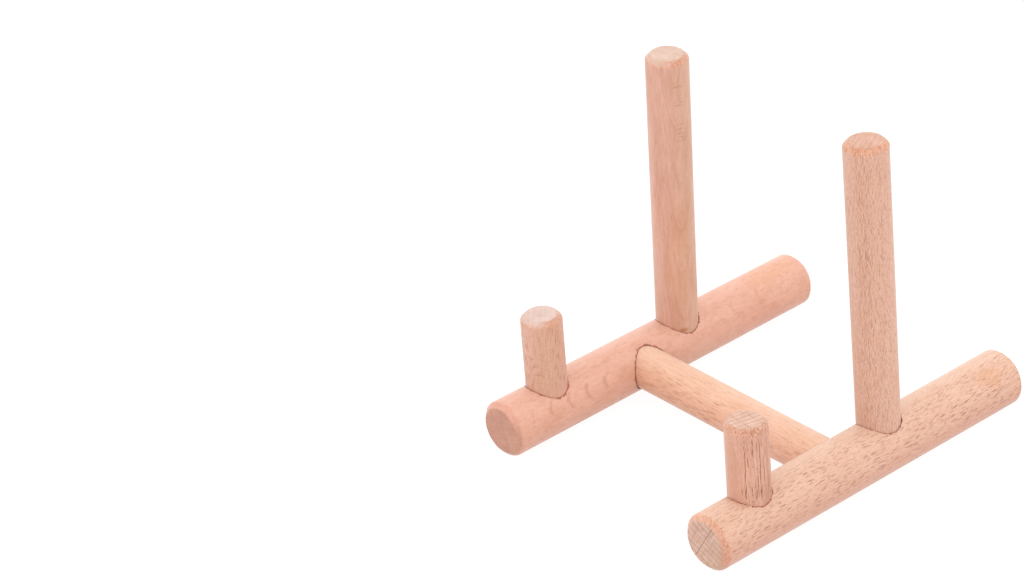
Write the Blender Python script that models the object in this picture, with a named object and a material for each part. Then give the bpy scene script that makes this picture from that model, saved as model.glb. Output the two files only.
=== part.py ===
"""Plate display stand: two round rails joined by a cross bar, with four upright dowels.

Every piece is a plain wooden dowel. The posts and the cross bar are glued into blind holes in
the rails. Metres, +Z up, +Y from the front (short posts) to the back (tall posts). The origin
is on the table, under the middle of the stand.
"""

import math

import bmesh
import bpy
from mathutils import Matrix, Vector

MM = 0.001

# Dowel stock.
RAIL_DIAMETER = 16.0 * MM
POST_DIAMETER = 12.0 * MM
BAR_DIAMETER = 12.0 * MM

# Layout seen from above. Setbacks are measured along Y from the rails' front ends.
RAIL_LENGTH = 112.5 * MM
RAIL_SPACING = 80.5 * MM
FRONT_POST_SETBACK = 17.2 * MM
BAR_SETBACK = 48.5 * MM
BACK_POST_SETBACK = 65.3 * MM

# Heights above the table, to the middle of each post's top.
FRONT_POST_TOP = 37.5 * MM
BACK_POST_TOP = 98.4 * MM

# Hand boring: how far each post stands from its place, rightwards and backwards, and how far it
# leans towards the other rail. The bar sits just above the rails' middle, turned a little.
BORING_ERRORS = {
    "left_front_post": (0.0, 0.0, 0.0),
    "right_front_post": (-0.8 * MM, -0.1 * MM, 0.0),
    "left_back_post": (0.0, 0.5 * MM, math.radians(1.6)),
    "right_back_post": (-0.8 * MM, -0.5 * MM, math.radians(1.2)),
}
BAR_RISE = 0.5 * MM
BAR_TURN = math.radians(-0.5)

# Joinery: hole depths below the rail's surface, and the room left for glue.
POST_HOLE_DEPTH = 10.0 * MM
BAR_SOCKET_DEPTH = 7.0 * MM
GLUE_GAP = 0.3 * MM

# Broken edges: rail ends, post tops, and the hidden ends that go into holes.
RAIL_CHAMFER = 1.5 * MM
POST_CHAMFER = 1.4 * MM
FOOT_CHAMFER = 0.8 * MM

SEGMENTS = 64
SMOOTH_ANGLE = math.radians(30.0)
CUTTER_OVERSHOOT = 3.0 * MM

RAIL_RADIUS = RAIL_DIAMETER / 2
POST_RADIUS = POST_DIAMETER / 2
BAR_RADIUS = BAR_DIAMETER / 2
# A flat facet of the rail lies on the table, so its axis is this high.
RAIL_AXIS_HEIGHT = RAIL_RADIUS * math.cos(math.pi / SEGMENTS)
FRONT_END = -RAIL_LENGTH / 2

SIDES = {"left": -1, "right": 1}
# Each row of posts: setback and height of its top.
POST_ROWS = {
    "front": (FRONT_POST_SETBACK, FRONT_POST_TOP),
    "back": (BACK_POST_SETBACK, BACK_POST_TOP),
}

# Base colour (linear RGB) and roughness of each piece's wood.
WOODS = {
    "left_rail": ((0.80, 0.42, 0.31), 0.52),
    "right_rail": ((0.86, 0.54, 0.40), 0.58),
    "cross_bar": ((0.90, 0.55, 0.39), 0.58),
    "left_front_post": ((0.76, 0.45, 0.33), 0.55),
    "right_front_post": ((0.74, 0.43, 0.31), 0.60),
    "left_back_post": ((0.71, 0.39, 0.28), 0.52),
    "right_back_post": ((0.74, 0.43, 0.32), 0.58),
}

ALONG_X = Matrix.Rotation(math.pi / 2, 4, "Y")
ALONG_Y = Matrix.Rotation(-math.pi / 2, 4, "X")


def clear_scene():
    for obj in list(bpy.data.objects):
        bpy.data.objects.remove(obj, do_unlink=True)


def wood(name):
    """Bare sanded wood in one piece's own tone."""
    colour, roughness = WOODS[name]
    material = bpy.data.materials.new(f"{name}_wood")
    material.use_nodes = True
    material.diffuse_color = (*colour, 1.0)
    shader = material.node_tree.nodes["Principled BSDF"]
    shader.inputs["Base Color"].default_value = (*colour, 1.0)
    shader.inputs["Roughness"].default_value = roughness
    shader.inputs["Metallic"].default_value = 0.0
    return material


def lathe(name, profile):
    """A closed solid turned about Z. The profile is (radius, height) pairs from bottom to top."""
    bm = bmesh.new()
    rings = []
    for radius, height in profile:
        ring = []
        for i in range(SEGMENTS):
            # The half step turns a flat facet, not a corner, to each of X and Y.
            angle = 2 * math.pi * (i + 0.5) / SEGMENTS
            point = (radius * math.cos(angle), radius * math.sin(angle), height)
            ring.append(bm.verts.new(point))
        rings.append(ring)
    bm.faces.new(list(reversed(rings[0])))
    for low, high in zip(rings, rings[1:]):
        for i in range(SEGMENTS):
            j = (i + 1) % SEGMENTS
            bm.faces.new((low[i], low[j], high[j], high[i]))
    bm.faces.new(rings[-1])
    mesh = bpy.data.meshes.new(name)
    bm.to_mesh(mesh)
    bm.free()
    mesh.shade_smooth()
    mesh.set_sharp_from_angle(angle=SMOOTH_ANGLE)
    obj = bpy.data.objects.new(name, mesh)
    bpy.context.scene.collection.objects.link(obj)
    return obj


def dowel(name, radius, start, end, start_chamfer, end_chamfer):
    """A dowel along local Z from start to end, both ends broken by 45 degree chamfers."""
    profile = (
        (radius - start_chamfer, start),
        (radius, start + start_chamfer),
        (radius, end - end_chamfer),
        (radius - end_chamfer, end),
    )
    obj = lathe(name, profile)
    obj.data.materials.append(wood(name))
    return obj


def cutter(name, radius, start, end):
    """A plain cylinder along local Z that bores a hole, and isn't a piece of the stand."""
    obj = lathe(name, ((radius, start), (radius, end)))
    obj.hide_render = True
    obj.display_type = "WIRE"
    return obj


def bore(target, tool):
    modifier = target.modifiers.new(tool.name, "BOOLEAN")
    modifier.operation = "DIFFERENCE"
    modifier.solver = "EXACT"
    modifier.object = tool


def make_rail(side):
    """A round rail along Y."""
    rail = dowel(f"{side}_rail", RAIL_RADIUS, 0.0, RAIL_LENGTH, RAIL_CHAMFER, RAIL_CHAMFER)
    start = Vector((SIDES[side] * RAIL_SPACING / 2, FRONT_END, RAIL_AXIS_HEIGHT))
    rail.matrix_world = Matrix.Translation(start) @ ALONG_Y
    return rail


def make_post(side, row, rail):
    """An upright dowel, and the blind hole in the rail that it stands in."""
    name = f"{side}_{row}_post"
    setback, top = POST_ROWS[row]
    rightwards, backwards, lean = BORING_ERRORS[name]
    x = SIDES[side] * RAIL_SPACING / 2 + rightwards
    y = FRONT_END + setback + backwards
    # Local Z runs up the post from the height of the rail's axis.
    where = Matrix.Translation((x, y, RAIL_AXIS_HEIGHT))
    place = where @ Matrix.Rotation(-SIDES[side] * lean, 4, "Y")
    hole_floor = RAIL_RADIUS - POST_HOLE_DEPTH
    length_up = (top - RAIL_AXIS_HEIGHT) / math.cos(lean)

    foot = hole_floor + GLUE_GAP
    post = dowel(name, POST_RADIUS, foot, length_up, FOOT_CHAMFER, POST_CHAMFER)
    post.matrix_world = place

    hole = cutter(f"{name}_hole", POST_RADIUS + GLUE_GAP, hole_floor, RAIL_RADIUS + CUTTER_OVERSHOOT)
    hole.matrix_world = place
    bore(rail, hole)


def make_cross_bar(rails):
    """The bar along X between the rails, and a blind socket in each rail's inner side."""
    height = RAIL_AXIS_HEIGHT + BAR_RISE
    where = Matrix.Translation((0.0, FRONT_END + BAR_SETBACK, height))
    place = where @ Matrix.Rotation(BAR_TURN, 4, "Z") @ ALONG_X
    rail_face = RAIL_SPACING / 2 - RAIL_RADIUS
    socket_floor = rail_face + BAR_SOCKET_DEPTH

    half = socket_floor - GLUE_GAP
    bar = dowel("cross_bar", BAR_RADIUS, -half, half, FOOT_CHAMFER, FOOT_CHAMFER)
    bar.matrix_world = place

    mouth = rail_face - CUTTER_OVERSHOOT
    for side, rail in rails.items():
        reach = sorted((SIDES[side] * mouth, SIDES[side] * socket_floor))
        socket = cutter(f"{side}_bar_socket", BAR_RADIUS + GLUE_GAP, *reach)
        socket.matrix_world = place
        bore(rail, socket)


def main():
    clear_scene()
    rails = {side: make_rail(side) for side in SIDES}
    make_cross_bar(rails)
    for side, rail in rails.items():
        for row in POST_ROWS:
            make_post(side, row, rail)


main()
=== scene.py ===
"""Looks of the plate display stand: seven beech dowels, finely modelled and shaded.

Each dowel is built round the axis of its CAD node, in its own frame: Z runs along the fibres
and X points to a named side. Its wood is a solid pattern in that frame, in millimetres, so it
shows the right face, edge and end grain wherever the dowel is cut.

Z runs from a rail's back end, from the bar's right end, and up from a post's hidden foot. Angles
round a dowel start at its X: right on the rails and posts, front on the bar. At 90 degrees is the
top of a rail or of the bar, and the back of a post.
"""

import math

import bpy
import numpy as np
from mathutils import Matrix, Vector, noise


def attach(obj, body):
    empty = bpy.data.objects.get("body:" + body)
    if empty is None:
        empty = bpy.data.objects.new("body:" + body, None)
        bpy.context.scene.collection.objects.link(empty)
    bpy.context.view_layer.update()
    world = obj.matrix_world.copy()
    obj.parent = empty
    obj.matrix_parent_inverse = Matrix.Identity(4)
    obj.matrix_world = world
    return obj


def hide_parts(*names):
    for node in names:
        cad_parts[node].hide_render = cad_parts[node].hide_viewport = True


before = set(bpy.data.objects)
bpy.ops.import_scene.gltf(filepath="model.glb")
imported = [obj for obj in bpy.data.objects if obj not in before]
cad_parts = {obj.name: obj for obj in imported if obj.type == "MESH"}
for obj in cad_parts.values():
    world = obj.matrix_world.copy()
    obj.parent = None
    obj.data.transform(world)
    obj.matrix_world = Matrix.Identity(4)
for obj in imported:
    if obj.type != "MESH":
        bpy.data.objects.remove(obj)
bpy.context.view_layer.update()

MM = 0.001
FRONT = Vector((0, -1, 0))
LEFT = Vector((-1, 0, 0))
RIGHT = Vector((1, 0, 0))
UP = Vector((0, 0, 1))

# Chamfers, and how round their edges are rubbed.
RAIL_CHAMFER = 1.5 * MM
POST_CHAMFER = 1.4 * MM
HIDDEN_CHAMFER = 0.8 * MM
EDGE_ROUND = 0.3 * MM

# The hand-worked surface: how deep its unevenness goes.
OUT_OF_ROUND = 0.035 * MM
TORN_EDGE = 0.14 * MM
SAW_MARK = 0.02 * MM
# A drying crack wanders this far sideways, in bends about this long, both in millimetres.
CRACK_WANDER = 0.15
CRACK_BEND = 2.5

# Holes: the glue below a dowel's foot, and how far the rim is chipped sideways and downwards.
GLUE_GAP = 0.3 * MM
CHIP = 0.34 * MM
CHIP_DEPTH = 0.5 * MM
# The gap round a dowel is full of glue from this depth down, and the glue's surface is hollow.
GLUE_BELOW = 0.5 * MM
GLUE_MENISCUS = 0.25 * MM
# Where it is full, the hole's wall bites this far into the dowel.
TIGHTEST_FIT = -0.06 * MM
HOLE_VERTICES = 180
MOUTH_STEP = 0.12 * MM

# A CAD node's vertices this near its end make its end ring.
RING_SLICE = 0.6 * MM
# An end's rings stop at this share of the radius, round a single middle vertex.
INNERMOST = 0.15
SMOOTH_ANGLE = math.radians(35.0)


def srgb(red, green, blue):
    """Linear RGBA of an 8-bit sRGB colour."""
    linear = []
    for level in (red / 255, green / 255, blue / 255):
        linear.append(level / 12.92 if level <= 0.04045 else ((level + 0.055) / 1.055) ** 2.4)
    return (*linear, 1.0)


# --- Where the dowels are -----------------------------------------------------------------------

# Girth against the CAD stock at the start and at the end, where it isn't exact.
GIRTHS = {
    "left_rail": (0.957, 1.01),
    "left_front_post": (0.96, 0.96),
    "right_front_post": (0.97, 0.97),
    "right_back_post": (1.0, 1.015),
}


class Stock:
    """A dowel's frame, length and radius, read from its CAD node."""

    def __init__(self, node, along, side):
        points = np.array([v.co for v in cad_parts[node].data.vertices], float)
        heights = points @ np.array(along)
        first = self.ring_centre(points[heights < heights.min() + RING_SLICE])
        last = self.ring_centre(points[heights > heights.max() - RING_SLICE])
        self.name = node
        self.length = (last - first).length
        axis = (last - first).normalized()
        across = (side - axis * side.dot(axis)).normalized()
        turn = Matrix((across, axis.cross(across), axis)).transposed().to_4x4()
        self.place = Matrix.Translation(first) @ turn
        offsets = points - np.array(first)
        offsets -= np.outer(offsets @ np.array(axis), np.array(axis))
        self.radius = float(np.linalg.norm(offsets, axis=1).max())
        self.girth = GIRTHS.get(node, (1.0, 1.0))

    @staticmethod
    def ring_centre(points):
        return Vector((points.min(axis=0) + points.max(axis=0)) / 2)


# --- Turned meshes ------------------------------------------------------------------------------


def turned_mesh(name, points):
    """A closed mesh from rings of points, shape (rings, around, 3), with a vertex amid each end."""
    rings, around, _ = points.shape
    vertices = [points[0].mean(axis=0), *points.reshape(-1, 3), points[-1].mean(axis=0)]
    top = len(vertices) - 1
    faces = []
    for j in range(around):
        k = (j + 1) % around
        faces.append((0, 1 + k, 1 + j))
        faces.append((top, 1 + (rings - 1) * around + j, 1 + (rings - 1) * around + k))
    for i in range(rings - 1):
        low = 1 + i * around
        high = low + around
        for j in range(around):
            k = (j + 1) % around
            faces.append((low + j, low + k, high + k, high + j))
    mesh = bpy.data.meshes.new(name)
    mesh.from_pydata(vertices, [], faces)
    mesh.shade_smooth()
    return mesh


def profile(length, radius, chamfers, step):
    """(radius, height) points up a dowel's side, from near the middle of one end to the other's."""
    low, high = chamfers
    corners = np.array(
        [
            (INNERMOST * radius, 0.0),
            (radius - low, 0.0),
            (radius, low),
            (radius, length - high),
            (radius - high, length),
            (INNERMOST * radius, length),
        ]
    )
    path = [corners[0]]
    for before, corner, after in zip(corners, corners[1:], corners[2:]):
        into = corner + (before - corner) * EDGE_ROUND / np.linalg.norm(before - corner)
        out = corner + (after - corner) * EDGE_ROUND / np.linalg.norm(after - corner)
        path += straight(path[-1], into, step)
        for t in (0.25, 0.5, 0.75, 1.0):
            path.append((1 - t) ** 2 * into + 2 * t * (1 - t) * corner + t**2 * out)
    path += straight(path[-1], corners[-1], step)
    return np.array(path)


def straight(start, end, step):
    count = max(6, math.ceil(np.linalg.norm(end - start) / step))
    return [start + (end - start) * i / count for i in range(1, count + 1)]


def outward(path):
    """Unit normals of a profile that runs up a dowel's side."""
    run = np.gradient(path, axis=0)
    normals = np.column_stack((run[:, 1], -run[:, 0]))
    return normals / np.linalg.norm(normals, axis=1)[:, None]


def unevenness(x, y, height, round_scale, bend, seed):
    """Smooth noise from -1 to 1 at a direction x, y round a dowel and a height in millimetres.

    A larger round_scale gives more bumps round the dowel, and bend is about their length along it.
    """
    return noise.noise(Vector((round_scale * x, round_scale * y, height / bend + seed)))


def crack_depths(cracks, path, angles, radius):
    """How near each point of the dowel is to a crack's middle, from 0 to 1, and its depth there."""
    share = np.zeros((len(path), len(angles)))
    depth = np.zeros_like(share)
    heights = path[:, 1] / MM
    for number, (angle, low, high, width, deep) in enumerate(cracks):
        bends = [noise.noise(Vector((h / CRACK_BEND, number * 7.3, 0))) for h in heights]
        middle = math.radians(angle) + np.array(bends) * CRACK_WANDER * MM / radius
        taper = 1 - ((heights - (low + high) / 2) / ((high - low) / 2)) ** 2
        half = width * MM * np.sqrt(np.clip(taper, 0, 1)) + 1e-9
        away = (angles[None, :] - middle[:, None] + math.pi) % (2 * math.pi) - math.pi
        inside = np.clip(1 - np.abs(away) * radius / half[:, None], 0, 1)
        share = np.maximum(share, inside)
        depth = np.maximum(depth, inside * deep * MM)
    return share, depth


def dowel_mesh(stock, form, seed):
    """A hand-finished dowel: slightly out of round, torn round its chamfers, sawn at its ends."""
    path = profile(stock.length, stock.radius, form["chamfers"], form["ring_step"])
    path[:, 0] *= np.interp(path[:, 1], (0, stock.length), stock.girth)
    normals = outward(path)
    angles = np.linspace(0, 2 * math.pi, form["vertices"], endpoint=False)
    share, depth = crack_depths(form["cracks"], path, angles, stock.radius)
    relief = -depth
    for i, ((radius, height), (sideways, endways)) in enumerate(zip(path, normals)):
        # 1 on a 45 degree chamfer, 0 on the side and on the ends.
        slope = abs(2 * sideways * endways)
        for j, angle in enumerate(angles):
            x = math.cos(angle)
            y = math.sin(angle)
            h = height / MM
            relief[i, j] += OUT_OF_ROUND * unevenness(x, y, h, 1.1, 30, seed) * abs(sideways)
            if slope > 0.05:
                relief[i, j] -= TORN_EDGE * slope * abs(unevenness(x, y, h, 6, 2, seed))
            if abs(endways) > 0.5:
                # The saw's lines cross the end askew.
                across = radius / MM * (x + 0.3 * y)
                relief[i, j] += SAW_MARK * noise.noise(Vector((across * 2.5, y / 4, seed)))
    reach = path[:, 0:1] + normals[:, 0:1] * relief
    points = np.empty((len(path), len(angles), 3))
    points[:, :, 0] = reach * np.cos(angles)
    points[:, :, 1] = reach * np.sin(angles)
    points[:, :, 2] = path[:, 1:2] + normals[:, 1:2] * relief
    mesh = turned_mesh(stock.name, points)
    marks = mesh.attributes.new("crack", "FLOAT", "POINT")
    # The first and the last vertex are the ends' middles, where no crack reaches.
    marks.data.foreach_set("value", np.concatenate(([0], share.ravel(), [0])).astype(np.float32))
    return mesh


def hole_mesh(dowel, rail, slack, shift, far_end, seed):
    """The blank that bores a dowel's hole, in world space, chipped at its mouth.

    It is loose by slack and off centre by shift, in millimetres. far_end takes the dowel's end, and
    not its start, into the hole.
    """
    rail_axis = rail.place.col[2].to_3d()
    rail_start = rail.place.translation
    dowel_side = dowel.place.col[0].to_3d()
    dowel_axis = dowel.place.col[2].to_3d()
    start = dowel.place.translation
    if far_end:
        start = start + dowel_axis * dowel.length
        dowel_axis = -dowel_axis
    turn = Matrix((dowel_side, dowel_axis.cross(dowel_side), dowel_axis)).transposed().to_4x4()
    place = Matrix.Translation(start) @ turn
    radius = dowel.radius * dowel.girth[far_end]
    offset = place.to_3x3().inverted() @ (Vector(shift) * MM)

    # Heights up the dowel from its hidden end: the lowest and the highest point of the hole's rim.
    to_rail_axis = (start - rail_start) - rail_axis * (start - rail_start).dot(rail_axis)
    crown = rail.radius + to_rail_axis.length
    shoulder = crown - rail.radius + math.sqrt(rail.radius**2 - radius**2)
    mouth = np.arange(shoulder - 1.0 * MM, crown + 0.5 * MM, MOUTH_STEP)
    heights = [-GLUE_GAP, 0.5 * shoulder, *mouth, crown + 3 * MM]
    angles = np.linspace(0, 2 * math.pi, HOLE_VERTICES, endpoint=False)
    points = np.empty((len(heights), len(angles), 3))
    for i, height in enumerate(heights):
        for j, angle in enumerate(angles):
            x = math.cos(angle)
            y = math.sin(angle)
            rough = unevenness(x, y, height / MM, 4, 3, seed)
            gap = max(TIGHTEST_FIT, slack * MM * (1 + 0.5 * rough) + offset.x * x + offset.y * y)
            surface = place @ Vector((radius * x, radius * y, height))
            away = surface - rail_start
            buried = rail.radius - (away - rail_axis * away.dot(rail_axis)).length
            chip = unevenness(x, y, 0, 7, 1, seed + 20) + 0.4 * rough
            if chip > 0:
                gap += CHIP * chip * min(max(1 - buried / CHIP_DEPTH, 0), 1)
            glue_free = min(max((GLUE_BELOW - buried) / GLUE_MENISCUS, 0), 1)
            gap = TIGHTEST_FIT + (gap - TIGHTEST_FIT) * glue_free
            points[i, j] = place @ Vector(((radius + gap) * x, (radius + gap) * y, height))
    return turned_mesh(f"{dowel.name}_hole", points)


def add_object(mesh):
    obj = bpy.data.objects.new(mesh.name, mesh)
    bpy.context.scene.collection.objects.link(obj)
    return obj


def carve(rail, blanks):
    """Cuts the blanks out of the rail for good, and removes them."""
    tools = [add_object(blank) for blank in blanks]
    for tool in tools:
        modifier = rail.modifiers.new(tool.name, "BOOLEAN")
        modifier.operation = "DIFFERENCE"
        modifier.solver = "EXACT"
        modifier.object = tool
    graph = bpy.context.evaluated_depsgraph_get()
    carved = bpy.data.meshes.new_from_object(rail.evaluated_get(graph))
    rail.modifiers.clear()
    rail.data = carved
    carved.set_sharp_from_angle(angle=SMOOTH_ANGLE)
    for tool in tools:
        bpy.data.objects.remove(tool)


# --- Node building ------------------------------------------------------------------------------

# A Mix node has sockets for every kind of value. These are the places of those for colours.
MIX_COLOUR_A = 6
MIX_COLOUR_B = 7
MIX_COLOUR_RESULT = 2


class Graph:
    """A material's nodes, built by small calls. A value is a socket or a plain number."""

    def __init__(self, name):
        self.material = bpy.data.materials.new(name)
        self.material.use_nodes = True
        self.tree = self.material.node_tree
        self.shader = self.tree.nodes["Principled BSDF"]

    def feed(self, socket, value):
        if isinstance(value, bpy.types.NodeSocket):
            self.tree.links.new(value, socket)
        else:
            socket.default_value = value

    def node(self, kind, **settings):
        node = self.tree.nodes.new(f"ShaderNode{kind}")
        for name, value in settings.items():
            setattr(node, name, value)
        return node

    def math(self, operation, *values):
        node = self.node("Math", operation=operation)
        for socket, value in zip(node.inputs, values):
            self.feed(socket, value)
        return node.outputs[0]

    def add(self, a, b):
        return self.math("ADD", a, b)

    def subtract(self, a, b):
        return self.math("SUBTRACT", a, b)

    def multiply(self, a, b):
        return self.math("MULTIPLY", a, b)

    def invert(self, value):
        return self.subtract(1.0, value)

    def ramp(self, value, low, high):
        """0 at low to 1 at high, eased. It falls where low is the larger."""
        node = self.node("MapRange", interpolation_type="SMOOTHSTEP")
        self.feed(node.inputs["Value"], value)
        self.feed(node.inputs["From Min"], low)
        self.feed(node.inputs["From Max"], high)
        return node.outputs["Result"]

    def vector(self, x, y, z):
        node = self.node("CombineXYZ")
        for socket, value in zip(node.inputs, (x, y, z)):
            self.feed(socket, value)
        return node.outputs[0]

    def noise(self, vector, detail=1.0, roughness=0.5):
        node = self.node("TexNoise")
        self.feed(node.inputs["Vector"], vector)
        node.inputs["Scale"].default_value = 1.0
        node.inputs["Detail"].default_value = detail
        node.inputs["Roughness"].default_value = roughness
        return node.outputs["Fac"]

    def cells(self, vector):
        """Distance to the nearest of a scatter of points, and a random number for that point."""
        node = self.node("TexVoronoi")
        self.feed(node.inputs["Vector"], vector)
        node.inputs["Scale"].default_value = 1.0
        split = self.node("SeparateColor")
        self.feed(split.inputs[0], node.outputs["Color"])
        return node.outputs["Distance"], split.outputs[0]

    def vector_math(self, operation, *vectors):
        node = self.node("VectorMath", operation=operation)
        for socket, value in zip(node.inputs, vectors):
            self.feed(socket, value)
        return node.outputs["Value" if operation in ("LENGTH", "DOT_PRODUCT") else "Vector"]

    def mix(self, factor, a, b, blend_type="MIX"):
        """Colour a, moved by factor to colour b, or to what blend_type makes of the two."""
        node = self.node("Mix", data_type="RGBA", blend_type=blend_type)
        self.feed(node.inputs["Factor"], factor)
        self.feed(node.inputs[MIX_COLOUR_A], a)
        self.feed(node.inputs[MIX_COLOUR_B], b)
        return node.outputs[MIX_COLOUR_RESULT]

    def shade(self, colour, amount, tint):
        """The colour, moved by amount towards itself times tint."""
        return self.mix(amount, colour, (*tint, 1.0), "MULTIPLY")


# --- Wood ---------------------------------------------------------------------------------------

# Multipliers that darken or lighten wood: shadows in it turn redder, highlights paler.
DEEP = (0.42, 0.20, 0.13)
BROWN = (0.74, 0.60, 0.50)
WARM = (0.90, 0.82, 0.75)
ORANGE = (0.98, 0.84, 0.68)
RUSTY = (0.80, 0.56, 0.38)
PINK = (0.97, 0.89, 0.88)
PALE = (1.08, 1.12, 1.16)
AMBER = (1.0, 0.96, 0.86)
FADED = (0.99, 1.04, 1.09)
DUSKY = (0.92, 0.82, 0.80)
TAN = (0.94, 0.94, 0.86)
# Glue round a dowel's foot, darkened further as painted shade of the gap beside it.
GLUE_AND_GAP_SHADE = (0.50, 0.22, 0.12)

# The colour of dried glue on bored wood, deep in a hole, darkened as painted shade of the hole.
GLUED_AND_SHADED = srgb(140, 46, 8)

# A pore's size towards the bark, along the year rings and along the fibres, in millimetres.
PORE = (0.33, 0.33, 0.7)

# Bare sanded wood, and how much rougher its fibre lines and its end grain are.
SANDED_ROUGHNESS = 0.45
LINE_ROUGHNESS = 0.06
END_ROUGHNESS = 0.15
WOOD_IOR = 1.45
# How deep the bump sinks fibre lines, ray flecks and cracks, in millimetres.
LINE_DEPTH = 0.010
FLECK_DEPTH = 0.03
CRACK_DEPTH = 0.05
# The nap that sanding leaves greys the wood where it is seen edge on.
NAP = 0.35
NAP_ROUGHNESS = 0.3
NAP_TINT = srgb(200, 206, 206)


class Fibre:
    """Where a shaded point is in its dowel, in millimetres: x, y across and z along the fibres.

    place is x, y and z together. u runs towards the bark and across runs along the year rings; v is
    across, slanted by the slope of the fibres. radius and angle, in degrees, are the polar place,
    inset is how far the point lies below the round side, and to_end how far it is from the nearer
    end. rim is the stock's radius.
    """

    def __init__(self, graph, stock, bark, slope, flat_range, seed):
        g = graph
        inverse = stock.place.inverted()
        node = g.node("Mapping")
        g.feed(node.inputs["Vector"], g.node("TexCoord").outputs["Object"])
        node.inputs["Location"].default_value = inverse.translation / MM
        node.inputs["Rotation"].default_value = inverse.to_euler()
        node.inputs["Scale"].default_value = (1 / MM, 1 / MM, 1 / MM)
        split = g.node("SeparateXYZ")
        g.feed(split.inputs[0], node.outputs[0])
        self.graph = g
        self.seed = seed
        self.place = node.outputs[0]
        self.x, self.y, self.z = split.outputs
        self.rim = stock.radius / MM
        cosine = math.cos(math.radians(bark))
        sine = math.sin(math.radians(bark))
        self.u = g.add(g.multiply(self.x, cosine), g.multiply(self.y, sine))
        self.across = g.subtract(g.multiply(self.y, cosine), g.multiply(self.x, sine))
        self.v = g.add(self.across, g.multiply(self.z, math.tan(math.radians(slope))))
        squares = g.add(g.multiply(self.x, self.x), g.multiply(self.y, self.y))
        self.radius = g.math("SQRT", squares)
        swell = self.rim * (stock.girth[1] - stock.girth[0]) * MM / stock.length
        rim_here = g.add(g.multiply(self.z, swell), self.rim * stock.girth[0])
        self.inset = g.subtract(rim_here, self.radius)
        self.angle = g.math("DEGREES", g.math("ARCTAN2", self.y, self.x))
        self.to_end = g.math("MINIMUM", self.z, g.subtract(stock.length / MM, self.z))
        # How squarely the side faces the bark: 1 on the flat-sawn sides, 0 on the quarter-sawn.
        outwardness = g.math("DIVIDE", self.u, g.math("MAXIMUM", self.radius, 1.0))
        self.flat_sawn = g.ramp(g.math("ABSOLUTE", outwardness), *flat_range)

    def at(self, u_size, v_size, z_size, shift=0.0, aside=0.0):
        """Coordinates for features of these sizes towards the bark, along the rings and along z."""
        g = self.graph
        return g.vector(
            g.add(g.multiply(self.u, 1 / u_size), self.seed + shift),
            g.multiply(g.add(self.v, aside), 1 / v_size),
            g.multiply(self.z, 1 / z_size),
        )

    def towards(self, angle):
        """0 on the side that faces away from this angle, rising to 1 on the side that faces it."""
        g = self.graph
        cosine = math.cos(math.radians(angle)) / self.rim
        sine = math.sin(math.radians(angle)) / self.rim
        reach = g.add(g.multiply(self.x, cosine), g.multiply(self.y, sine))
        return g.add(g.multiply(reach, 0.5), 0.5)

    def arc(self, angle):
        """Distance round the side from the line that faces this angle."""
        g = self.graph
        turn = g.math("WRAP", g.subtract(self.angle, angle), 180.0, -180.0)
        return g.multiply(turn, math.radians(self.rim))

    def side(self, angle, inner, outer):
        """1 within the inner distance round the side from an angle, falling to 0 at the outer."""
        return self.graph.ramp(self.graph.math("ABSOLUTE", self.arc(angle)), outer, inner)

    def spot(self, angle, height, around, along, ragged=0.5):
        """A soft oval with half sizes around and along the dowel, and a ragged border."""
        g = self.graph
        across = g.multiply(self.arc(angle), 1 / around)
        up = g.multiply(g.subtract(self.z, height), 1 / along)
        reach = g.math("SQRT", g.add(g.multiply(across, across), g.multiply(up, up)))
        cloud = g.noise(self.at(1.2, 1.2, 3.0, height), 2.0)
        return g.ramp(g.add(reach, g.multiply(g.subtract(cloud, 0.5), ragged * 2)), 1.0, 0.35)


def ring_lines(g, fibre, look):
    """Late wood: a dark line at each year's end."""
    width = look["ring_width"]
    from_pith = g.add(fibre.u, look["pith"])
    squares = g.add(g.multiply(from_pith, from_pith), g.multiply(fibre.v, fibre.v))
    depth = g.add(g.math("SQRT", squares), g.multiply(fibre.z, look["ring_tilt"]))
    waver = g.multiply(g.noise(fibre.at(14, 14, 30), 1.0), 1.5 * width)
    phase = g.math("FRACT", g.math("DIVIDE", g.add(depth, waver), width))
    return g.multiply(g.ramp(phase, 0.72, 0.96), g.ramp(phase, 1.0, 0.98))


def ray_flecks(g, fibre, size, limit, shift=0.0):
    """Rays cut across: thin lenses. Returns them, and the narrow margins beside them."""
    distance, chance = g.cells(fibre.at(*size, shift))
    reach = g.add(g.multiply(chance, 0.5 * limit), 0.62 * limit)
    margin = g.ramp(distance, g.multiply(reach, 1.9), g.multiply(reach, 1.2))
    return g.ramp(distance, reach, g.multiply(reach, 0.75)), margin


def fibres(g, fibre, colour, look):
    """Fine dark and pale lines along the grain, and short pores. Returns colour and relief."""
    width, length = look["fibre_size"]
    dark = g.ramp(g.noise(fibre.at(width, width, length), 1.0), 0.46, 0.74)
    pale = g.ramp(g.noise(fibre.at(width, width, 1.2 * length, 3.0), 1.0), 0.46, 0.74)
    colour = g.shade(colour, g.multiply(dark, look["fibres"]), BROWN)
    colour = g.shade(colour, g.multiply(pale, look["fibres"]), PALE)
    pores = g.ramp(g.noise(fibre.at(*PORE, 6.0), 1.0), 0.48, 0.75)
    colour = g.shade(colour, g.multiply(pores, look["pores"]), BROWN)
    return colour, g.add(dark, pores)


def torn_grain_painted_relief(g, fibre, colour, amount, size):
    """Fibres lifted by the cutter, drawn only in colour: each ridge gets a painted highlight on one
    flank and painted shade on the other.
    """
    across, along = size
    here = g.noise(fibre.at(across, across, along, 11.0), 1.0)
    beside = g.noise(fibre.at(across, across, along, 11.0, 0.22), 1.0)
    rise = g.subtract(here, beside)
    colour = g.shade(colour, g.multiply(g.ramp(rise, 0.02, 0.20), amount), BROWN)
    return g.shade(colour, g.multiply(g.ramp(rise, -0.02, -0.20), amount), PALE)


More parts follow.
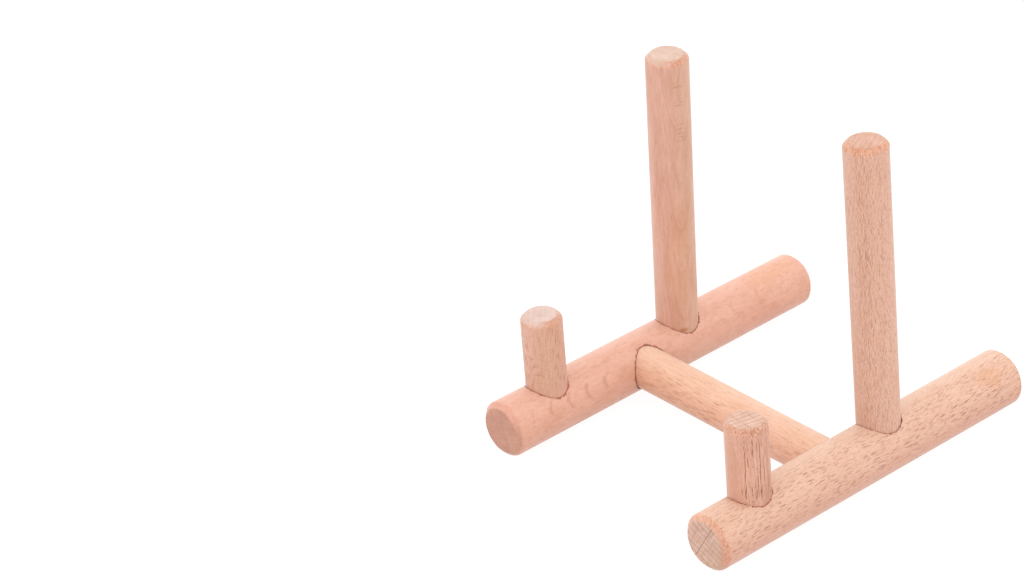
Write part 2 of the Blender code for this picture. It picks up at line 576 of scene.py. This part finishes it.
def rays(g, fibre, colour, look):
    """Dark flecks with pale margins on the flat-sawn sides, broad patches on the quarter-sawn.

    Returns colour and the share that lies a little below the surface.
    """
    deep, across, along = look["fleck_size"]
    limit = look["fleck_share"]
    large, margin = ray_flecks(g, fibre, (deep, across, along), limit)
    small, _ = ray_flecks(g, fibre, (deep, 0.8 * across, 0.5 * along), limit, 4.0)
    gathered = g.ramp(g.noise(fibre.at(4, 2.5, 12, 5.0), 1.0), 0.28, 0.48)
    # Only a fifth of the flecks shows on the crown of the side painted paler, under its painted
    # highlight.
    clear = g.ramp(fibre.towards(look["painted_light_side"]), 0.97, 0.80)
    flat_sawn = g.multiply(fibre.flat_sawn, g.add(g.multiply(clear, 0.8), 0.2))
    gathering = look["gathering"]
    visible = g.multiply(flat_sawn, g.add(g.multiply(gathered, gathering), 1 - gathering))
    sunk = g.multiply(large, visible)
    colour = g.shade(colour, g.multiply(g.multiply(margin, visible), 0.4 * look["flecks"]), PALE)
    colour = g.shade(colour, g.multiply(sunk, look["flecks"]), look["fleck_tint"])
    faint = g.multiply(g.multiply(small, flat_sawn), 0.25 * look["flecks"])
    colour = g.shade(colour, faint, look["fleck_tint"])
    patches = g.multiply(g.multiply(large, g.invert(fibre.flat_sawn)), look["ray_patches"])
    return g.shade(colour, patches, WARM), sunk


def sawn_end(g, fibre, look, rings):
    """End grain: greyer, with thin ring lines crossed by finer rays, and saw marks."""
    cloud = g.ramp(g.noise(fibre.at(3, 3, 3, 2.0), 2.0), 0.3, 0.7)
    colour = g.mix(cloud, look["end_tone"], look["end_second"])
    colour = g.shade(colour, g.multiply(rings, look["end_rings"]), BROWN)
    between = g.ramp(g.noise(fibre.at(0.35, 5.0, 9.0, 8.0), 2.0), 0.52, 0.7)
    colour = g.shade(colour, g.multiply(between, 0.6 * look["end_rings"]), BROWN)
    across = g.ramp(g.noise(fibre.at(7.0, 0.40, 9.0, 3.0), 2.0), 0.52, 0.7)
    colour = g.shade(colour, g.multiply(across, look["end_rays"]), BROWN)
    pale = g.ramp(g.noise(fibre.at(5.0, 0.45, 9.0, 1.0), 1.0), 0.56, 0.7)
    colour = g.shade(colour, pale, PALE)
    pores = g.ramp(g.noise(fibre.at(0.30, 0.30, 5.0, 4.0), 1.0), 0.5, 0.75)
    colour = g.shade(colour, g.multiply(pores, 0.4), BROWN)
    return look["end_marks"](g, fibre, colour)


def ends(g, fibre, colour, look, chamfer, rings):
    """Rubbed and scalloped chamfers, and the end grain inside them. Returns colour and end grain."""
    ragged = g.noise(fibre.at(0.55, 0.55, 1.6, 9.0), 2.0)
    torn = g.subtract(ragged, 0.5)
    scallop, _ = g.cells(fibre.at(*look["scallop_size"], 15.0))
    reach = g.add(chamfer + 0.1, g.multiply(torn, look["edge_tear"]))
    edge = g.ramp(g.subtract(reach, fibre.to_end), -0.25, 0.25)
    inner, outer = look["edge_spread"]
    rubbed = g.add(g.multiply(fibre.side(look["edge_angle"], inner, outer), 0.8), 0.2)
    amount = g.multiply(edge, g.multiply(rubbed, look["edge"]))
    colour = g.shade(colour, amount, look["edge_tint"])
    between = g.multiply(amount, g.ramp(scallop, 0.42, 0.72))
    colour = g.shade(colour, g.multiply(between, look["scallops"]), look["scallop_tint"])

    inside = g.add(fibre.inset, g.multiply(torn, 0.8))
    face = g.ramp(inside, chamfer - 0.3, chamfer + 0.15)
    bare = g.multiply(g.invert(rubbed), g.ramp(inside, 0.2, 0.7))
    near_end = g.ramp(fibre.to_end, chamfer + 0.2, chamfer - 0.4)
    sawn = g.multiply(g.math("MAXIMUM", face, bare), near_end)
    return g.mix(sawn, colour, sawn_end(g, fibre, look, rings)), sawn


def glued_and_shaded_wall(g, fibre, colour):
    """Inside a rail's holes: raw bored wood with dried glue, painted dark brown as painted shade
    deep in the hole.
    """
    bored = g.multiply(g.ramp(fibre.inset, 0.15, 0.55), g.ramp(fibre.to_end, 2.5, 3.0))
    return g.mix(bored, colour, GLUED_AND_SHADED)


def glue_and_gap_shade_line(g, fibre, colour, stock, dowel, emerges, glue_and_shade):
    """A thin ragged line of glue and of painted shade, standing for the gap's shadow, round the foot
    of a dowel that stands in this one.

    emerges is 1 where the dowel comes out along its own Z, and -1 where it comes out against it.
    """
    to_stock = stock.place.inverted()
    start = to_stock @ dowel.place.translation / MM
    axis = to_stock.to_3x3() @ dowel.place.col[2].to_3d()
    offset = g.vector_math("SUBTRACT", fibre.place, start)
    away = g.vector_math("LENGTH", g.vector_math("CROSS_PRODUCT", offset, axis))
    emerging = g.ramp(g.vector_math("DOT_PRODUCT", fibre.place, axis * emerges), 1.0, 3.0)
    ragged = g.noise(fibre.at(0.8, 0.8, 0.8, 21.0), 2.0)
    reach = g.subtract(away, dowel.radius / MM)
    width = 0.05 + 0.35 * glue_and_shade
    line = g.ramp(g.add(reach, g.multiply(g.subtract(ragged, 0.5), 1.2)), width, 0.4 * width)
    return g.shade(colour, g.multiply(g.multiply(line, emerging), 0.9), GLUE_AND_GAP_SHADE)


def wood(stock, look, chamfer, mouths, seed):
    """Beech in one dowel's own tone and figure, with that dowel's own marks."""
    g = Graph(f"{stock.name}_wood")
    fibre = Fibre(g, stock, look["bark"], look["slope"], look["flat_range"], seed)

    # Painted light and shade: the side towards the lit angle, the top of a rail or of the bar, is
    # painted paler, and the side behind it darker.
    colour = g.mix(fibre.towards(look["painted_light_side"]), look["second_tone"], look["tone"])
    drift = g.ramp(g.noise(fibre.at(*look["cloud_size"], 2.0), 2.0), 0.35, 0.65)
    colour = g.shade(colour, g.multiply(drift, look["clouds"]), WARM)
    rings = ring_lines(g, fibre, look)
    colour = g.shade(colour, g.multiply(rings, look["rings"]), WARM)
    colour, lines = fibres(g, fibre, colour, look)
    colour, sunk = rays(g, fibre, colour, look)
    colour = look["marks"](g, fibre, colour)
    crack = g.ramp(g.node("Attribute", attribute_name="crack").outputs["Fac"], 0.0, 0.6)
    colour = g.shade(colour, crack, DEEP)
    colour, sawn = ends(g, fibre, colour, look, chamfer / MM, rings)
    for dowel, emerges, glue_and_shade in mouths:
        colour = glue_and_gap_shade_line(g, fibre, colour, stock, dowel, emerges, glue_and_shade)
    if mouths:
        colour = glued_and_shaded_wall(g, fibre, colour)

    g.feed(g.shader.inputs["Base Color"], colour)
    roughness = g.add(g.multiply(lines, LINE_ROUGHNESS), g.multiply(sawn, END_ROUGHNESS))
    g.feed(g.shader.inputs["Roughness"], g.add(roughness, SANDED_ROUGHNESS))
    g.shader.inputs["IOR"].default_value = WOOD_IOR
    g.shader.inputs["Sheen Weight"].default_value = NAP
    g.shader.inputs["Sheen Roughness"].default_value = NAP_ROUGHNESS
    g.shader.inputs["Sheen Tint"].default_value = NAP_TINT
    hollows = g.add(g.multiply(lines, LINE_DEPTH), g.multiply(sunk, FLECK_DEPTH))
    hollows = g.add(hollows, g.multiply(crack, CRACK_DEPTH))
    bump = g.node("Bump")
    bump.inputs["Distance"].default_value = MM
    g.feed(bump.inputs["Height"], g.multiply(hollows, -1.0))
    g.feed(g.shader.inputs["Normal"], bump.outputs[0])
    return g.material


# --- Each dowel's own marks ---------------------------------------------------------------------


def plain(g, fibre, colour):
    """No marks at all."""
    return colour


def patch(g, fibre, colour, tint, strength, angle, height, around, along, ragged=0.5):
    """A soft oval patch, with the place and the half sizes that Fibre.spot takes."""
    oval = fibre.spot(angle, height, around, along, ragged)
    return g.shade(colour, g.multiply(oval, strength), tint)


def stripe(g, fibre, colour, tint, strength, angle, inner, outer):
    """A stripe all along the side, with the place and the distances that Fibre.side takes."""
    return g.shade(colour, g.multiply(fibre.side(angle, inner, outer), strength), tint)


def crescents(g, fibre, colour, angle, low, high, pitch, half_width, bend, strength):
    """Marks of a chattering cutter: bowed lines across the side, a pitch apart from low to high."""
    arc = fibre.arc(angle)
    bowed = g.add(g.subtract(fibre.z, high), g.multiply(g.multiply(arc, arc), bend))
    phase = g.math("FRACT", g.multiply(bowed, 1 / pitch))
    line = g.multiply(g.ramp(phase, 0.0, 0.10), g.ramp(phase, 0.35, 0.10))
    near = fibre.side(angle, 0.4 * half_width, half_width)
    span = g.multiply(g.ramp(fibre.z, low, low + 1), g.ramp(fibre.z, high + 1, high))
    uneven = g.ramp(g.noise(fibre.at(2.5, 2.5, 2.5, 7.0), 1.0), 0.35, 0.6)
    share = g.multiply(g.multiply(line, near), g.multiply(span, uneven))
    return g.shade(colour, g.multiply(share, strength), BROWN)


def rungs(g, fibre, colour, angle, heights, half_width, strength):
    """Short dark lines across the side, where the cutter jumped."""
    waver = g.multiply(g.subtract(g.noise(fibre.at(1.1, 1.1, 1.3, 7.0), 1.0), 0.5), 1.8)
    uneven = g.ramp(g.noise(fibre.at(1.6, 1.6, 0.9, 17.0), 1.0), 0.3, 0.55)
    near = g.multiply(fibre.side(angle, 0.4 * half_width, half_width), uneven)
    arc = fibre.arc(angle)
    bowed = g.add(g.multiply(arc, 0.15), g.multiply(g.multiply(arc, arc), 0.15))
    up = g.add(fibre.z, g.add(waver, bowed))
    for height in heights:
        away = g.math("ABSOLUTE", g.subtract(up, height))
        line = g.multiply(g.ramp(away, 0.35, 0.08), near)
        colour = g.shade(colour, g.multiply(line, strength), BROWN)
    return colour


def left_rail_marks(g, fibre, colour):
    colour = crescents(
        g, fibre, colour, angle=27.0, low=74.0, high=106.0, pitch=6.6,
        half_width=3.4, bend=0.25, strength=0.55,
    )
    colour = crescents(
        g, fibre, colour, angle=40.0, low=6.0, high=40.0, pitch=5.0,
        half_width=4.5, bend=0.15, strength=0.22,
    )
    colour = patch(g, fibre, colour, AMBER, 0.9, 78.0, 12.0, 5.0, 14.0)
    return patch(g, fibre, colour, PINK, 0.6, 0.0, 20.0, 6.0, 14.0)


def right_rail_marks(g, fibre, colour):
    colour = patch(g, fibre, colour, ORANGE, 0.6, 52.0, 11.0, 4.0, 6.0)
    colour = patch(g, fibre, colour, PINK, 0.7, 90.0, 27.0, 2.0, 3.5)
    # Painted shade: a soft brown contact shadow on the rail before the short post's foot.
    colour = patch(g, fibre, colour, BROWN, 0.7, 98.0, 100.4, 6.0, 2.8, 0.2)
    return stripe(g, fibre, colour, PINK, 0.6, -35.0, 3.0, 7.0)


def right_rail_end(g, fibre, colour):
    """One drying crack runs along a ray, off the middle, and the low side is tanned."""
    wander = g.multiply(g.subtract(g.noise(fibre.at(2.0, 9.0, 50.0), 1.0), 0.5), 0.5)
    line = g.math("ABSOLUTE", g.add(g.subtract(fibre.across, 0.6), wander))
    crack = g.multiply(g.ramp(line, 0.16, 0.04), g.ramp(fibre.u, -6.5, -6.0))
    colour = g.shade(colour, g.ramp(fibre.towards(-50.0), 0.55, 0.95), TAN)
    return g.shade(colour, g.multiply(crack, 0.8), DEEP)


def left_front_marks(g, fibre, colour):
    torn = g.multiply(fibre.side(-105.0, 1.2, 2.6), g.ramp(fibre.z, 11.0, 15.0))
    # Torn grain low on one side, its ridges drawn as painted highlight and painted shade.
    colour = torn_grain_painted_relief(g, fibre, colour, torn, (0.45, 2.2))
    colour = stripe(g, fibre, colour, TAN, 0.8, -30.0, 2.0, 5.0)
    return crescents(
        g, fibre, colour, angle=-60.0, low=12.0, high=20.0, pitch=2.6,
        half_width=3.0, bend=0.2, strength=0.6,
    )


def right_front_marks(g, fibre, colour):
    colour = patch(g, fibre, colour, PALE, 0.45, -38.0, 18.0, 3.0, 8.0)
    colour = patch(g, fibre, colour, BROWN, 0.45, 18.0, 10.5, 3.5, 7.0)
    colour = patch(g, fibre, colour, WARM, 0.4, -88.0, 20.0, 3.0, 9.0)
    # Torn grain, its ridges drawn as painted highlight and painted shade.
    return torn_grain_painted_relief(g, fibre, colour, g.multiply(fibre.side(-15.0, 3.0, 7.0), 0.5), (0.4, 3.0))


def left_back_marks(g, fibre, colour):
    colour = rungs(g, fibre, colour, -14.0, (84.6, 80.0, 79.0), 2.0, 0.6)
    colour = rungs(g, fibre, colour, -10.0, (73.2, 71.8, 70.4, 69.2, 68.0), 2.0, 0.5)
    colour = patch(g, fibre, colour, DUSKY, 0.45, -75.0, 58.0, 3.0, 22.0)
    colour = patch(g, fibre, colour, AMBER, 0.9, -30.0, 30.0, 5.0, 26.0)
    colour = stripe(g, fibre, colour, TAN, 0.6, 10.0, 1.0, 3.5)
    # Glue squeezed out at the foot.
    return patch(g, fibre, colour, RUSTY, 0.9, -24.0, 8.0, 2.4, 0.9, 0.3)


def right_back_marks(g, fibre, colour):
    torn = fibre.side(-62.0, 1.5, 3.2)
    crinkled = g.multiply(fibre.side(-35.0, 6.0, 9.0), 0.5)
    # Crinkled and torn grain, their ridges drawn as painted highlight and painted shade.
    colour = torn_grain_painted_relief(g, fibre, colour, crinkled, (0.55, 0.7))
    colour = torn_grain_painted_relief(g, fibre, colour, g.multiply(torn, 0.6), (0.45, 1.8))
    colour = stripe(g, fibre, colour, FADED, 0.7, -115.0, 1.5, 4.0)
    low = g.ramp(fibre.z, 45.0, 25.0)
    return g.shade(colour, g.multiply(g.multiply(fibre.side(-118.0, 1.0, 2.6), low), 0.5), ORANGE)


# What every dowel's wood is like, unless LOOKS says otherwise. Sizes are in millimetres, angles in
# degrees, and strengths run from 0 to 1.
LOOK = {
    # Tone of the side that faces the angle below, painted paler as painted light from above, and of
    # the side behind it, painted darker as painted shade; drifting warmer clouds.
    "tone": srgb(204, 156, 134),
    "second_tone": srgb(204, 156, 134),
    "painted_light_side": 90.0,
    "clouds": 0.3,
    "cloud_size": (3.0, 3.0, 9.0),
    # Side nearest the bark, distance to the pith, and slope of the fibres in degrees.
    "bark": 30.0,
    "pith": 70.0,
    "slope": 0.0,
    # Year rings: width, slant along the dowel, and strength.
    "ring_width": 1.5,
    "ring_tilt": 0.012,
    "rings": 0.35,
    # Fine lines along the grain: strength, and size across and along; strength of the pores.
    "fibres": 0.5,
    "fibre_size": (0.45, 3.5),
    "pores": 0.5,
    # Ray flecks: strength, spacing as in Fibre.at, how much of it each fills, their tint, and how
    # far they gather in swarms.
    "flecks": 0.9,
    "fleck_size": (9.0, 0.34, 4.4),
    "fleck_share": 0.33,
    "fleck_tint": DEEP,
    "gathering": 0.6,
    # How squarely a side faces the bark where flecks start to show, and where they are all there;
    # then the strength of the patches on the other sides.
    "flat_range": (0.2, 0.75),
    "ray_patches": 0.3,
    # End grain: its two tones, and the strength of its rings and rays.
    "end_tone": srgb(186, 150, 132),
    "end_second": srgb(194, 160, 144),
    "end_rings": 0.5,
    "end_rays": 0.4,
    # Rubbed chamfers: strength and tint, the angle where they are most rubbed, from which to which
    # distance from there they fade, and how ragged they are. Then the torn scallops in them.
    "edge": 0.6,
    "edge_tint": ORANGE,
    "edge_angle": -60.0,
    "edge_spread": (5.0, 12.0),
    "edge_tear": 1.6,
    "scallops": 0.5,
    "scallop_size": (0.8, 0.8, 1.1),
    "scallop_tint": RUSTY,
    # The dowel's own marks, on its side and on its ends.
    "marks": plain,
    "end_marks": plain,
}

# How each dowel differs, with marks that only it has.
LOOKS = {
    "left_rail": {
        "tone": srgb(208, 161, 141),
        "second_tone": srgb(204, 152, 131),
        "painted_light_side": 126.0,
        "clouds": 0.4,
        "bark": 111.0,
        "rings": 0.15,
        "fibres": 0.22,
        "fibre_size": (1.0, 1.8),
        "pores": 0.2,
        "flecks": 0.12,
        "end_tone": srgb(173, 124, 105),
        "end_second": srgb(183, 134, 114),
        "end_rings": 0.18,
        "end_rays": 0.15,
        "edge": 0.8,
        "edge_tint": DUSKY,
        "edge_angle": 90.0,
        "scallops": 0.15,
        "marks": left_rail_marks,
    },
    "right_rail": {
        "tone": srgb(208, 172, 150),
        "second_tone": srgb(201, 155, 134),
        "painted_light_side": 126.0,
        "bark": 58.0,
        "slope": 3.0,
        "ring_width": 1.9,
        "fibres": 0.35,
        "fibre_size": (0.34, 2.0),
        "pores": 0.3,
        "flecks": 0.95,
        "fleck_size": (0.9, 0.22, 4.0),
        "fleck_share": 0.32,
        "fleck_tint": (0.46, 0.27, 0.20),
        "gathering": 0.35,
        "flat_range": (0.12, 0.55),
        "end_rings": 0.8,
        "end_rays": 0.6,
        "edge": 0.8,
        "edge_tint": (0.96, 0.83, 0.77),
        "edge_angle": 70.0,
        "edge_spread": (12.0, 17.0),
        "marks": right_rail_marks,
        "end_marks": right_rail_end,
    },
    "cross_bar": {
        "tone": srgb(213, 175, 151),
        "second_tone": srgb(207, 153, 127),
        "painted_light_side": 133.0,
        "bark": -15.0,
        "fibres": 0.35,
        "pores": 0.3,
        "flecks": 1.0,
        "fleck_size": (2.5, 0.30, 7.0),
        "fleck_share": 0.30,
        "fleck_tint": (0.55, 0.36, 0.26),
    },
    "left_front_post": {
        "tone": srgb(201, 156, 137),
        "second_tone": srgb(201, 156, 137),
        "bark": -131.0,
        "fibres": 0.38,
        "pores": 0.4,
        "flecks": 0.4,
        "end_tone": srgb(191, 164, 153),
        "end_second": srgb(199, 174, 165),
        "end_rings": 0.25,
        "end_rays": 0.25,
        "edge": 0.5,
        "edge_tint": (0.95, 0.88, 0.82),
        "edge_angle": 10.0,
        "edge_spread": (2.0, 7.0),
        "scallops": 0.4,
        "marks": left_front_marks,
    },
    "right_front_post": {
        "tone": srgb(199, 151, 130),
        "second_tone": srgb(199, 151, 130),
        "bark": -10.0,
        "slope": 2.0,
        "fibres": 0.32,
        "fibre_size": (0.40, 5.0),
        "pores": 0.35,
        "flecks": 1.0,
        "fleck_size": (9.0, 0.36, 9.0),
        "fleck_share": 0.28,
        "end_tone": srgb(190, 155, 136),
        "end_second": srgb(198, 165, 147),
        "end_rings": 0.9,
        "end_rays": 0.75,
        "edge": 0.8,
        "edge_tint": (1.0, 1.02, 1.0),
        "edge_tear": 3.0,
        "scallops": 1.0,
        "scallop_size": (0.4, 0.4, 2.0),
        "scallop_tint": (0.66, 0.50, 0.38),
        "marks": right_front_marks,
    },
    "left_back_post": {
        "tone": srgb(200, 158, 137),
        "second_tone": srgb(200, 154, 136),
        "clouds": 0.6,
        "cloud_size": (2.5, 2.5, 12.0),
        "bark": -20.0,
        "ring_width": 0.9,
        "ring_tilt": 0.06,
        "rings": 0.5,
        "fibres": 0.2,
        "fibre_size": (0.8, 4.0),
        "pores": 0.2,
        "flecks": 0.1,
        "end_tone": srgb(189, 159, 142),
        "end_second": srgb(195, 167, 151),
        "end_rings": 0.25,
        "end_rays": 0.2,
        "edge": 0.8,
        "edge_tint": (0.94, 0.86, 0.80),
        "edge_angle": 5.0,
        "edge_spread": (2.0, 8.0),
        "scallops": 0.7,
        "marks": left_back_marks,
    },
    "right_back_post": {
        "tone": srgb(201, 158, 138),
        "second_tone": srgb(201, 158, 138),
        "bark": -60.0,
        "slope": 1.5,
        "fibres": 0.24,
        "fibre_size": (0.45, 1.2),
        "pores": 0.3,
        "flecks": 0.3,
        "end_tone": srgb(188, 145, 123),
        "end_second": srgb(194, 154, 135),
        "end_rings": 0.2,
        "end_rays": 0.55,
        "edge": 0.8,
        "edge_tint": (0.99, 0.88, 0.75),
        "edge_angle": -30.0,
        "edge_spread": (8.0, 12.0),
        "edge_tear": 2.2,
        "scallops": 0.7,
        "marks": right_back_marks,
    },
}

# Each crack: its angle in degrees, then its lowest and highest point along the dowel, half width
# and depth in millimetres.
SHORT_POST_CRACKS = (
    (-50.0, 9.0, 30.5, 0.07, 0.35),
    (-34.0, 9.5, 14.5, 0.06, 0.25),
    (-29.5, 20.0, 29.0, 0.06, 0.25),
    (-22.0, 9.5, 14.0, 0.07, 0.30),
    (-18.0, 14.0, 22.0, 0.05, 0.20),
    (-10.0, 11.0, 30.5, 0.09, 0.45),
    (2.0, 13.0, 25.0, 0.06, 0.25),
    (18.0, 9.5, 28.0, 0.09, 0.40),
)

# How a dowel is made: chamfers at its start and its end, and its open cracks. Then how fine its
# mesh is: vertices round it, and the distance between its rings.
RAIL = {
    "chamfers": (RAIL_CHAMFER, RAIL_CHAMFER),
    "cracks": (),
    "vertices": 320,
    "ring_step": 0.42 * MM,
}
POST = {
    "chamfers": (HIDDEN_CHAMFER, POST_CHAMFER),
    "cracks": (),
    "vertices": 300,
    "ring_step": 0.4 * MM,
}
BAR = {**POST, "chamfers": (HIDDEN_CHAMFER, HIDDEN_CHAMFER)}
CRACKED_POST = {**POST, "cracks": SHORT_POST_CRACKS, "vertices": 384, "ring_step": 0.2 * MM}

# Each dowel: where its Z and its X point, and how it is made.
DOWELS = {
    "left_rail": (FRONT, RIGHT, RAIL),
    "right_rail": (FRONT, RIGHT, RAIL),
    "cross_bar": (LEFT, FRONT, BAR),
    "left_front_post": (UP, RIGHT, POST),
    "right_front_post": (UP, RIGHT, CRACKED_POST),
    "left_back_post": (UP, RIGHT, POST),
    "right_back_post": (UP, RIGHT, POST),
}

# Each hole: dowel, rail, mean gap round the dowel and the hole's shift along the stand's axes, both
# in millimetres, whether it takes the dowel's far end, and how dark its rim is with glue and painted
# gap shade.
HOLES = (
    ("left_front_post", "left_rail", 0.06, (-0.06, -0.07, 0.0), False, 0.3),
    ("right_front_post", "right_rail", 0.0, (0.04, 0.04, 0.0), False, 0.25),
    ("left_back_post", "left_rail", 0.14, (0.07, 0.08, 0.0), False, 1.0),
    ("right_back_post", "right_rail", 0.14, (0.08, 0.08, 0.0), False, 1.0),
    ("cross_bar", "left_rail", 0.16, (0.0, -0.08, 0.05), True, 1.5),
    ("cross_bar", "right_rail", 0.05, (0.0, 0.0, 0.05), False, 0.1),
)

# Steps between the places that pieces take in the noise, so that no two are alike.
SHAPE_SEED = 17.3
WOOD_SEED = 31.7
HOLE_SEED = 5.1


def make_piece(stock, stocks, form, number):
    """One dowel's solid, without holes, in its own wood."""
    mesh = dowel_mesh(stock, form, SHAPE_SEED * number)
    mesh.transform(stock.place)
    mouths = []
    for dowel, rail, _, _, far_end, glue_and_shade in HOLES:
        if rail == stock.name:
            mouths.append((stocks[dowel], -1 if far_end else 1, glue_and_shade))
    look = {**LOOK, **LOOKS[stock.name]}
    mesh.materials.append(wood(stock, look, form["chamfers"][1], mouths, WOOD_SEED * number))
    piece = add_object(mesh)
    piece.name = f"{stock.name}_wood_piece"
    return piece


def bore_holes(pieces, stocks):
    """Cuts every hole into its rail."""
    blanks = {}
    for number, (dowel, rail, slack, shift, far_end, _) in enumerate(HOLES):
        blank = hole_mesh(stocks[dowel], stocks[rail], slack, shift, far_end, HOLE_SEED * number)
        blanks.setdefault(rail, []).append(blank)
    for rail, tools in blanks.items():
        carve(pieces[rail], tools)


def make_pieces():
    stocks = {name: Stock(name, along, side) for name, (along, side, _) in DOWELS.items()}
    pieces = {}
    for number, (name, (_, _, form)) in enumerate(DOWELS.items()):
        pieces[name] = make_piece(stocks[name], stocks, form, number)
    bore_holes(pieces, stocks)
    for name, piece in pieces.items():
        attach(piece, "root")
        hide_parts(name)


# --- Stage, light and camera --------------------------------------------------------------------

WHITE = (1.0, 1.0, 1.0, 1.0)
FLOOR_SIZE = 8.0
# The floor glows nearly white by itself and reflects little, so it takes only a trace of shadow.
FLOOR_GREY = (0.12, 0.12, 0.12, 1.0)
FLOOR_GLOW = 0.92
SKY_STRENGTH = 1.62


def make_stage():
    bpy.ops.mesh.primitive_plane_add(size=FLOOR_SIZE)
    floor = bpy.context.object
    floor.name = "floor"
    graph = Graph("floor_white")
    graph.shader.inputs["Base Color"].default_value = FLOOR_GREY
    graph.shader.inputs["Roughness"].default_value = 1.0
    graph.shader.inputs["Specular IOR Level"].default_value = 0.0
    graph.shader.inputs["Emission Color"].default_value = WHITE
    graph.shader.inputs["Emission Strength"].default_value = FLOOR_GLOW
    floor.data.materials.append(graph.material)


def make_light():
    """Even white light from all round, as in a light tent."""
    scene = bpy.context.scene
    scene.view_settings.view_transform = "Standard"
    world = bpy.data.worlds.new("studio")
    world.use_nodes = True
    sky = world.node_tree.nodes["Background"]
    sky.inputs["Color"].default_value = WHITE
    sky.inputs["Strength"].default_value = SKY_STRENGTH
    scene.world = world


# The point that the camera faces, its distance from there and the nearest thing that it draws are
# in metres, and the lens is in millimetres.
CAMERA_TARGET = Vector((-0.04243, -0.04639, 0.04843))
CAMERA_DISTANCE = 0.93335
CAMERA_AZIMUTH = math.radians(51.79)
CAMERA_ELEVATION = math.radians(29.68)
CAMERA_ROLL = math.radians(-5.006)
CAMERA_LENS = 122.36
NEAREST = 0.05


def make_camera():
    """A long lens from the front right, tipped a little, with the stand right of its middle."""
    back = Vector(
        (
            math.sin(CAMERA_AZIMUTH) * math.cos(CAMERA_ELEVATION),
            -math.cos(CAMERA_AZIMUTH) * math.cos(CAMERA_ELEVATION),
            math.sin(CAMERA_ELEVATION),
        )
    )
    data = bpy.data.cameras.new("camera")
    data.lens = CAMERA_LENS
    data.clip_start = NEAREST
    camera = bpy.data.objects.new("camera", data)
    level = back.to_track_quat("Z", "Y").to_matrix().to_4x4()
    roll = Matrix.Rotation(CAMERA_ROLL, 4, "Z")
    camera.matrix_world = Matrix.Translation(CAMERA_TARGET + back * CAMERA_DISTANCE) @ level @ roll
    bpy.context.scene.collection.objects.link(camera)
    bpy.context.scene.camera = camera


make_camera()
make_stage()
make_light()
make_pieces()
